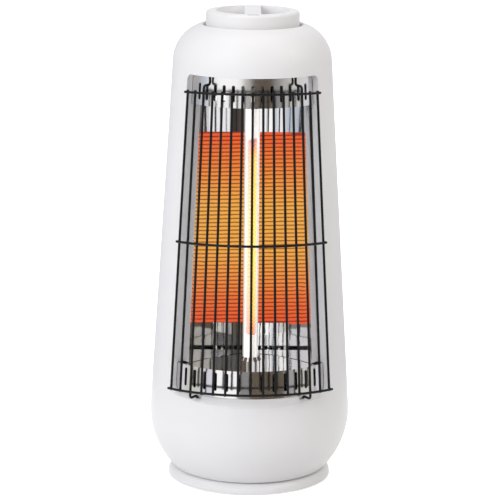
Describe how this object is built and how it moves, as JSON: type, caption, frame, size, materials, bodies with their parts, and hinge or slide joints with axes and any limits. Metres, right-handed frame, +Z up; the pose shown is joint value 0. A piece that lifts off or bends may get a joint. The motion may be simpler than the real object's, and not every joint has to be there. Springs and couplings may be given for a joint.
{
  "type": "carbon lamp heater",
  "caption": "Vase-shaped upright carbon lamp heater with a wire-guarded window, parabolic reflector, top dial and round swinging base.",
  "frame": {"origin": "centre of the base on the floor", "axes": "+Z up along the swing axis, -Y out of the window, +X to the right seen from the front"},
  "size_m": [0.2064, 0.2163, 0.4851],
  "materials": {
    "white_plastic": "moulded white plastic, semi-gloss",
    "grey_mark": "inlaid grey mark",
    "polished_steel": "mirror-polished steel sheet",
    "black_wire": "black enamelled wire",
    "quartz": "clear quartz",
    "hot_carbon": "glowing carbon",
    "ceramic_white": "unglazed ceramic",
    "plated_steel": "zinc-plated steel",
    "ballast_iron": "cast iron",
    "black_rubber": "soft rubber",
    "natural_nylon": "natural nylon",
    "black_plastic": "black moulding"
  },
  "bodies": {
    "base": {"base_shell": "white_plastic", "base_plate": "plated_steel", "rubber_feet": "black_rubber", "base_screws": "plated_steel", "ballast_ring": "ballast_iron", "cord_gland": "black_rubber", "pivot_post": "plated_steel", "lower_washer": "natural_nylon", "upper_washer": "natural_nylon", "sun_gear": "natural_nylon", "retaining_ring": "plated_steel", "tip_switch": "black_plastic"},
    "heater_body": {"swivel_plate": "natural_nylon", "swing_motor": "plated_steel", "front_housing": "white_plastic", "rear_housing": "white_plastic", "housing_screws": "plated_steel", "lower_tray": "plated_steel", "mast": "plated_steel", "thermal_cutoff": "plated_steel", "terminal_block": "black_plastic", "reflector": "polished_steel", "lower_cap": "polished_steel", "upper_cap": "polished_steel", "quartz_tube": "quartz", "carbon_filament": "hot_carbon", "filament_plugs": "ceramic_white", "lower_holder": "ceramic_white", "upper_holder": "ceramic_white", "lower_bracket": "plated_steel", "upper_bracket": "plated_steel", "guard_rails": "black_wire", "guard_uprights": "black_wire", "control_deck": "natural_nylon", "rotary_switch": "black_plastic", "switch_nut": "plated_steel"},
    "pinion": {"drive_pinion": "natural_nylon", "motor_shaft": "plated_steel"},
    "dial": {"dial": "white_plastic", "dial_pointer": "grey_mark", "switch_shaft": "plated_steel"},
    "plunger": {"tip_plunger": "black_plastic"}
  },
  "joints": [
    {"name": "body_swing", "type": "hinge", "parent": "base", "child": "heater_body", "pos_m": [0, 0, 0], "axis": [0, 0, 1], "range_deg": [-35, 35]},
    {"name": "pinion_spin", "type": "hinge", "parent": "heater_body", "child": "pinion", "pos_m": [0, -0.0375, 0.035], "axis": [0, 0, 1], "range_deg": [-145, 145]},
    {"name": "dial_turn", "type": "hinge", "parent": "heater_body", "child": "dial", "pos_m": [0, 0, 0.47], "axis": [0, 0, 1], "range_deg": [-45, 45]},
    {"name": "plunger_slide", "type": "slide", "parent": "base", "child": "plunger", "axis": [0, 0, -1], "range_m": [0, 0.003], "stiffness_N_per_m": 100, "springref_m": 0.004}
  ],
  "couplings": [
    {"joint": "pinion_spin", "follows": "body_swing", "ratio": 4}
  ]
}
